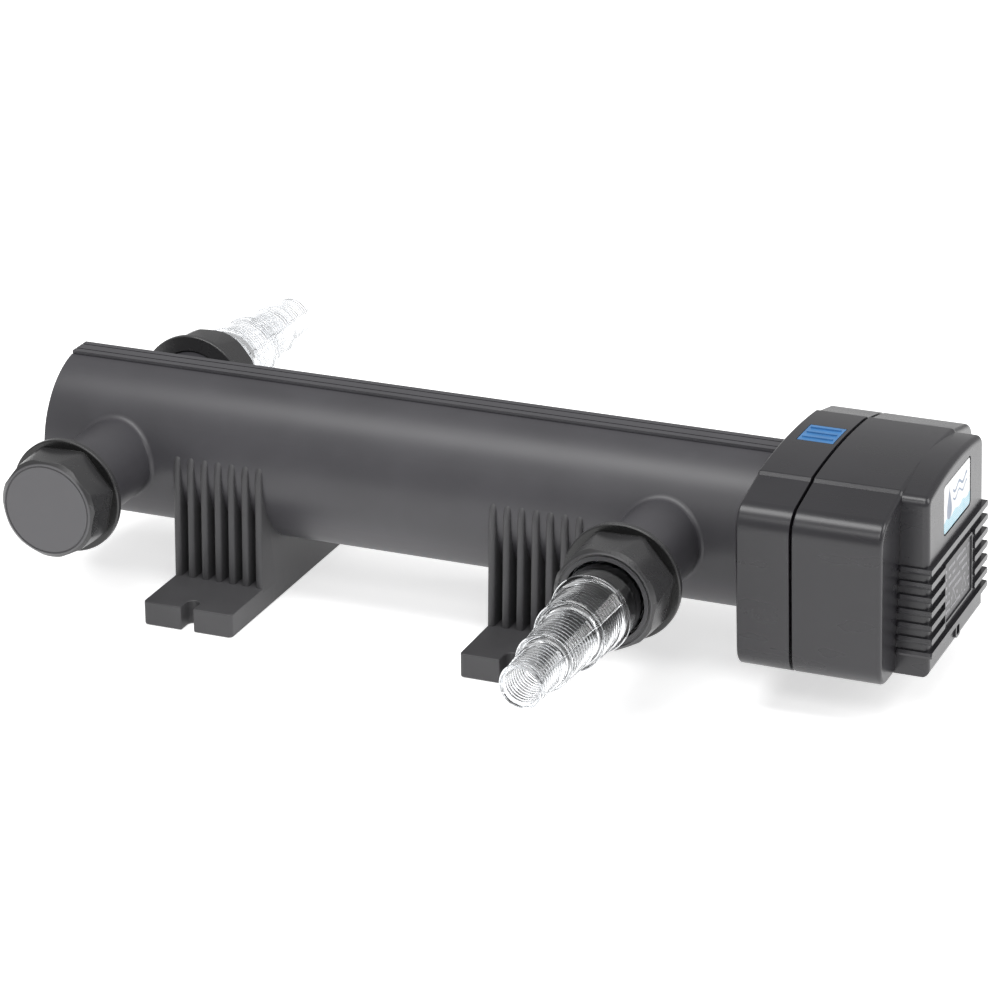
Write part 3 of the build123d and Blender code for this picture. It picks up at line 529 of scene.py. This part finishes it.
def make_hose_tail(node):
    """Turns the half section round the neck's axis, lifted along two mould seams."""
    low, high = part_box(node)
    outward = -1 if low.y < -high.y else 1
    end_y = (high.y if outward < 0 else low.y) - outward * TAIL_START * MM
    centre = Vector(((low.x + high.x) / 2, end_y, (low.z + high.z) / 2))
    seams = [SEAM_ANGLE + side + nudge for side in (0, 180) for nudge in (-SEAM_HALF, 0, SEAM_HALF)]
    turns = sorted([side * 360 / TAIL_TURNS for side in range(TAIL_TURNS)] + seams)
    outside, bore = draw_tail()
    form = bmesh.new()
    rings = []
    for turn in turns:
        lift = SEAM_HIGH if (turn - SEAM_ANGLE) % 180 == 0 else 0
        across = Vector((math.sin(math.radians(turn)), 0, math.cos(math.radians(turn))))
        ring = []
        for place, (distance, radius) in enumerate(outside + bore[::-1]):
            seam = place < len(outside) and distance > SEAM_START
            reach = radius + (lift if seam else 0)
            ring.append(form.verts.new(centre + (across * reach + Vector((0, outward * distance, 0))) * MM))
        rings.append(ring)
    join_rings(form, rings + rings[:1])
    piece = link(node + "_ribbed", mesh_of(node + "_ribbed", form, tail_clear, 50))
    install(piece, body_of(node), slot_of(node), node)


make_hose_tail("hose_tail_front")
make_hose_tail("hose_tail_rear")


# ---------------------------------------------------------------- feet
TUBE_LOW, TUBE_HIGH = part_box("housing_tube")
TUBE_R = (TUBE_HIGH.y - TUBE_LOW.y) / 2
TUBE_AXIS_Z = TUBE_LOW.z + TUBE_R
SUNK_R = TUBE_R - 0.8 * MM  # where a foot's upper surfaces end, just inside the tube's wall
PLATE_HIGH = 14.7 * MM
CORE_HALF = 40.0 * MM
CORE_LOW = 3.0 * MM
FLUSH = 0.04 * MM  # keeps walls that look like one from lying in one plane
FIN_COUNT = 7
FIN_THICK = 4.5 * MM
FIN_EDGE = 1.9 * MM
FIN_LOW = PLATE_HIGH - 3.0 * MM  # a fin's foot is sunk in the plate
FIN_ROOT_Y = 53.4 * MM
FIN_TOP_Y = 50.9 * MM
FIN_TIP_Y = 44.4 * MM
FIN_TOP_Z = 78.6 * MM
FIN_RISE = 12.0 * MM  # the rounded tip above that
FIN_STEPS = 7
SLOT_HALF = 3.9 * MM
SLOT_DEEP = 12.0 * MM
PLATE_CORNER = 3.0 * MM
FOOT_EDGE = 0.9 * MM


def arc(centre, radius, start, stop, steps):
    """Points round an arc in a plane, angles in degrees."""
    turns = [math.radians(start + (stop - start) * step / steps) for step in range(steps + 1)]
    return [(centre[0] + radius * math.cos(turn), centre[1] + radius * math.sin(turn)) for turn in turns]


def add_prism(form, corners, place, low, high):
    """Extrudes a flat outline from low to high. Place turns (across, up, along) into a point."""
    bottom = [form.verts.new(place(across, up, low)) for across, up in corners]
    top = [form.verts.new(place(across, up, high)) for across, up in corners]
    form.faces.new(bottom[::-1])
    form.faces.new(top)
    join_rings(form, [bottom, top])


def draw_plate(half_width, half_depth):
    """The outline of the foot's plate, with an open slot front and rear."""
    right = arc((half_width - PLATE_CORNER, half_depth - PLATE_CORNER), PLATE_CORNER, 0, 90, 6)
    slot = arc((0, half_depth - SLOT_DEEP + SLOT_HALF), SLOT_HALF, 0, -180, 14)
    notch = [(SLOT_HALF, half_depth)] + slot + [(-SLOT_HALF, half_depth)]
    left = [(-x, y) for x, y in right[::-1]]
    upper = right + notch + left
    return upper + [(-x, -y) for x, y in upper]


def draw_core():
    """The block between plate and tube, seen along the tube: upright sides and a round seat."""
    rise = math.degrees(math.acos(CORE_HALF / SUNK_R))
    seat = arc((0, TUBE_AXIS_Z), SUNK_R, -rise, -180 + rise, 24)
    return [(-CORE_HALF, CORE_LOW), (CORE_HALF, CORE_LOW)] + seat


def draw_fin(side, inset):
    """One fin across the tube: a nearly upright front that curls onto the tube at its tip."""
    curl = FIN_TOP_Y - FIN_TIP_Y
    front = [(FIN_ROOT_Y - inset, FIN_LOW)]
    for step in range(FIN_STEPS + 1):
        turn = math.radians(90 * step / FIN_STEPS)
        out = (curl - inset) * math.cos(turn)
        front.append((FIN_TIP_Y + out, FIN_TOP_Z + (FIN_RISE - inset) * math.sin(turn)))
    seat = arc((0, TUBE_AXIS_Z), SUNK_R - 2 * MM, 0, -44, 12)
    outline = front + seat + [(seat[-1][0], FIN_LOW)]
    return [(side * y, z) for y, z in outline]


def add_fin(form, side, low, thick, edge):
    """Stacks outlines across the fin's thickness, drawn in towards both sides so that its front is round."""
    layers = []
    for share in (0, 0.15, 0.5, 1):
        inset = edge - math.sqrt(edge ** 2 - (edge - share * edge) ** 2)
        layers += [(low + share * edge, inset), (low + thick - share * edge, inset)]
    rings = []
    for x, inset in sorted(layers):
        rings.append([form.verts.new((x, y, z)) for y, z in draw_fin(side, inset)])
    form.faces.new(rings[0][::-1])
    form.faces.new(rings[-1])
    join_rings(form, rings)


def row_tree():
    """Geometry Nodes that repeat a form in a row, the first at its own place."""
    tree = bpy.data.node_groups.new("row", "GeometryNodeTree")
    for name, kind in (("Form", "Geometry"), ("Count", "Int"), ("Pitch", "Vector"), ("Finish", "Material")):
        tree.interface.new_socket(name, in_out="INPUT", socket_type="NodeSocket" + kind)
    tree.interface.new_socket("Row", in_out="OUTPUT", socket_type="NodeSocketGeometry")
    given = tree.nodes.new("NodeGroupInput")
    result = tree.nodes.new("NodeGroupOutput")
    line = tree.nodes.new("GeometryNodeMeshLine")
    line.mode = "OFFSET"
    copies = tree.nodes.new("GeometryNodeInstanceOnPoints")
    whole = tree.nodes.new("GeometryNodeRealizeInstances")
    finished = tree.nodes.new("GeometryNodeSetMaterial")
    for start, end in (
        (given.outputs["Count"], line.inputs["Count"]),
        (given.outputs["Pitch"], line.inputs["Offset"]),
        (line.outputs["Mesh"], copies.inputs["Points"]),
        (given.outputs["Form"], copies.inputs["Instance"]),
        (copies.outputs["Instances"], whole.inputs["Geometry"]),
        (whole.outputs["Geometry"], finished.inputs["Geometry"]),
        (given.outputs["Finish"], finished.inputs["Material"]),
        (finished.outputs["Geometry"], result.inputs["Row"]),
    ):
        tree.links.new(start, end)
    return tree


ROW_TREE = row_tree()


def repeat(piece, count, pitch, material):
    """Adds the row tree to a piece, with its inputs set."""
    row = piece.modifiers.new("row", "NODES")
    row.node_group = ROW_TREE
    sockets = {item.name: item.identifier for item in ROW_TREE.interface.items_tree}
    row[sockets["Count"]] = count
    row[sockets["Pitch"]] = pitch
    row[sockets["Finish"]] = material


def make_foot(node):
    """One foot: a slotted plate with its block, and a row of fins on both sides."""
    low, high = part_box(node)
    centre_x = (low.x + high.x) / 2
    half_width = (high.x - low.x) / 2
    body = body_of(node)
    base = bmesh.new()
    plate = draw_plate(half_width - 2 * FLUSH, high.y)
    add_prism(base, plate, lambda x, y, z: (centre_x + x, y, z), low.z, PLATE_HIGH)
    add_prism(base, draw_core(), lambda y, z, x: (x, y, z), low.x + FLUSH, high.x - FLUSH)
    foot = link(node + "_base", mesh_of(node + "_base", base, charcoal_grain, 0))
    round_edges(foot, FOOT_EDGE, segments=3, angle=40, clamp=False)
    install(settle(foot), body, slot_of(node), node)
    pitch = (2 * half_width - FIN_THICK) / (FIN_COUNT - 1)
    fin = bmesh.new()
    for side in (-1, 1):
        add_fin(fin, side, low.x, FIN_THICK, FIN_EDGE)
    fins = link(node + "_fins", mesh_of(node + "_fins", fin, charcoal_grain, 42))
    repeat(fins, FIN_COUNT, (pitch, 0, 0), charcoal_grain)
    install(settle(fins), body, slot_of(node), node)


make_foot("foot_left")
make_foot("foot_right")


# ---------------------------------------------------------------- fillets where the necks leave the tube
NECK_R = 24.0 * MM
NUT_EDGE = 0.45 * MM
FILLET_SUNK = 0.5 * MM  # into the tube's wall
FILLET_INSIDE = 0.3 * MM  # into the neck's wall
FILLET_R = 2.6 * MM
FILLET_STEPS = 7
FILLET_TURNS = 72


def make_neck_fillet(neck):
    """A ring that follows the tube's curve, concave outside and sunk a little in both walls."""
    low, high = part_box(neck)
    outward = -1 if low.y < -high.y else 1
    centre_x = (low.x + high.x) / 2
    section = [(-FILLET_INSIDE, FILLET_R)]
    for step in range(FILLET_STEPS + 1):
        sweep = math.radians(90 * step / FILLET_STEPS)
        section.append((FILLET_R * (1 - math.cos(sweep)), FILLET_R * (1 - math.sin(sweep))))
    section += [(FILLET_R, -FILLET_SUNK), (-FILLET_INSIDE, -FILLET_SUNK)]
    form = bmesh.new()
    rings = []
    for turn in range(FILLET_TURNS):
        angle = math.radians(360 * turn / FILLET_TURNS)
        ring = []
        for outwards, above in section:
            radius = NECK_R + outwards
            up = radius * math.cos(angle)
            wall = math.sqrt(TUBE_R ** 2 - up ** 2)
            place = (centre_x + radius * math.sin(angle), outward * (wall + above), TUBE_AXIS_Z + up)
            ring.append(form.verts.new(place))
        rings.append(ring)
    join_rings(form, rings + rings[:1])
    ring = link(neck + "_root", mesh_of(neck + "_root", form, charcoal_satin))
    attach(ring, "housing")
    slot_of(neck)


for neck_node in ("port_neck_cap", "port_neck_front", "port_neck_rear"):
    make_neck_fillet(neck_node)

for nut_node, nut_finish in (
    ("union_nut_front", nut_front),
    ("union_nut_rear", nut_rear),
    ("blind_cap", cap_black),
):
    soften(nut_node, NUT_EDGE, nut_finish)


# ---------------------------------------------------------------- studio
AIM = Vector((-0.042, 0.0, 0.0706))
CAMERA_AZIMUTH = math.radians(22.43)
CAMERA_ELEVATION = math.radians(22.07)
CAMERA_ROLL = math.radians(-0.29)
CAMERA_DISTANCE = 2.291
CAMERA_LENS = 141.7
FLOOR_HALF = 30.0
FLOOR_GAP = 0.2 * MM  # between the floor and the feet
FLOOR_GLOW = 0.56
WORLD_GLOW = 0.5


def from_aim(azimuth, elevation):
    """The direction from the object to a place seen at that azimuth and elevation."""
    flat = math.cos(elevation)
    return Vector((math.sin(azimuth) * flat, -math.cos(azimuth) * flat, math.sin(elevation)))


def set_camera():
    """A long lens aimed at the middle of the object."""
    lens = bpy.data.cameras.new("camera")
    lens.lens = CAMERA_LENS
    lens.sensor_width = 36
    lens.clip_start = 0.1
    lens.clip_end = 50
    camera = link("camera", lens)
    back = from_aim(CAMERA_AZIMUTH, CAMERA_ELEVATION)
    upright = (-back).to_track_quat("-Z", "Y").to_matrix().to_4x4()
    camera.matrix_world = (
        Matrix.Translation(AIM + back * CAMERA_DISTANCE) @ upright @ Matrix.Rotation(CAMERA_ROLL, 4, "Z")
    )
    bpy.context.scene.camera = camera


def add_softbox(name, azimuth, elevation, distance, width, height, power):
    """A rectangular light that faces the object, its angles in degrees and its power in watts."""
    light = bpy.data.lights.new(name, "AREA")
    light.shape = "RECTANGLE"
    light.size = width
    light.size_y = height
    light.energy = power
    softbox = link(name, light)
    direction = from_aim(math.radians(azimuth), math.radians(elevation))
    softbox.location = AIM + direction * distance
    softbox.rotation_mode = "QUATERNION"
    softbox.rotation_quaternion = direction.to_track_quat("Z", "Y")


def lay_floor():
    """White paper that glows a little, so that it stays white all round."""
    mesh = bpy.data.meshes.new("floor")
    corners = [(x * FLOOR_HALF, y * FLOOR_HALF, 0) for x, y in ((-1, -1), (1, -1), (1, 1), (-1, 1))]
    mesh.from_pydata(corners, [], [(0, 1, 2, 3)])
    floor = link("floor", mesh)
    floor.location.z = CAD_BOX[0].z - FLOOR_GAP
    paper = Finish("floor_paper", Roughness=0.9, Emission_Color=(1, 1, 1, 1), Emission_Strength=FLOOR_GLOW)
    paper.feed(Base_Color=paper.blend(paper.noise(3, 2), grey(0.9), grey(0.92)))
    mesh.materials.append(paper.material)


def light_studio():
    """A white surround and three softboxes."""
    world = bpy.data.worlds.new("studio")
    world.use_nodes = True
    surround = world.node_tree.nodes["Background"]
    surround.inputs["Color"].default_value = (1, 1, 1, 1)
    surround.inputs["Strength"].default_value = WORLD_GLOW
    bpy.context.scene.world = world
    add_softbox("softbox_over", -12, 74, 1.5, 1.5, 0.55, 17)
    add_softbox("softbox_front", 10, 42, 1.9, 1.2, 0.5, 7)
    add_softbox("softbox_end", 100, 30, 1.7, 0.7, 0.9, 9)
    bpy.context.scene.view_settings.view_transform = "Standard"


set_camera()
lay_floor()
light_studio()
